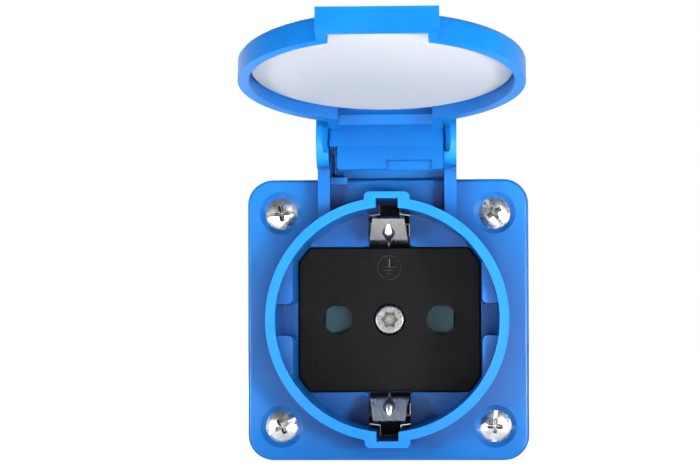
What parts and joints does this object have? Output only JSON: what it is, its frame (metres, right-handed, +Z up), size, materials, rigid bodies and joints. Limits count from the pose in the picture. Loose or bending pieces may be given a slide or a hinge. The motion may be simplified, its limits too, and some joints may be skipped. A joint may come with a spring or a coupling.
{
  "type": "panel-mounted two-pin earthed socket with hinged lid",
  "caption": "Flush panel socket with a square flange, a round ribbed collar, a deep recess with a black two-pin face and side earth contacts, and a sprung hinged lid.",
  "frame": {"origin": "centre of the mounting plane behind the flange gasket", "axes": "+X right and +Z up as seen by the user, +Y from the user into the panel"},
  "size_m": [0.0502, 0.0953, 0.073],
  "materials": {
    "blue_plastic": "satin moulded",
    "black_plastic": "fine matt",
    "teal_plastic": "satin",
    "seal_rubber": "soft matt",
    "gasket_rubber": "matt",
    "bright_steel": "zinc plated",
    "spring_steel": "bright wire",
    "contact_metal": "nickel plated"
  },
  "bodies": {
    "socket": {"housing": "blue_plastic", "flange_gasket": "gasket_rubber", "flange_screws": "bright_steel", "centre_screw": "bright_steel", "lid_spring": "spring_steel", "shutter_spring": "spring_steel", "insert_cover": "black_plastic", "insert_base": "black_plastic", "earth_strap": "contact_metal", "live_contact": "contact_metal", "neutral_contact": "contact_metal", "centre_nut": "bright_steel", "live_clamp": "bright_steel", "neutral_clamp": "bright_steel", "earth_clamp": "bright_steel", "live_screw": "bright_steel", "neutral_screw": "bright_steel", "earth_screw": "bright_steel"},
    "lid": {"lid": "blue_plastic", "lid_seal": "seal_rubber", "hinge_pin": "bright_steel"},
    "shutter": {"shutter": "teal_plastic"}
  },
  "joints": [
    {"name": "lid_hinge", "type": "hinge", "parent": "socket", "child": "lid", "pos_m": [0, -0.008, 0.03165], "axis": [1, 0, 0], "range_deg": [0, 102], "deforming": ["lid_spring"]},
    {"name": "shutter_turn", "type": "hinge", "parent": "socket", "child": "shutter", "pos_m": [0, 0.0105, 0], "axis": [0, 1, 0], "range_deg": [0, 38], "stiffness_Nm_per_rad": 0.002, "deforming": ["shutter_spring"]}
  ]
}
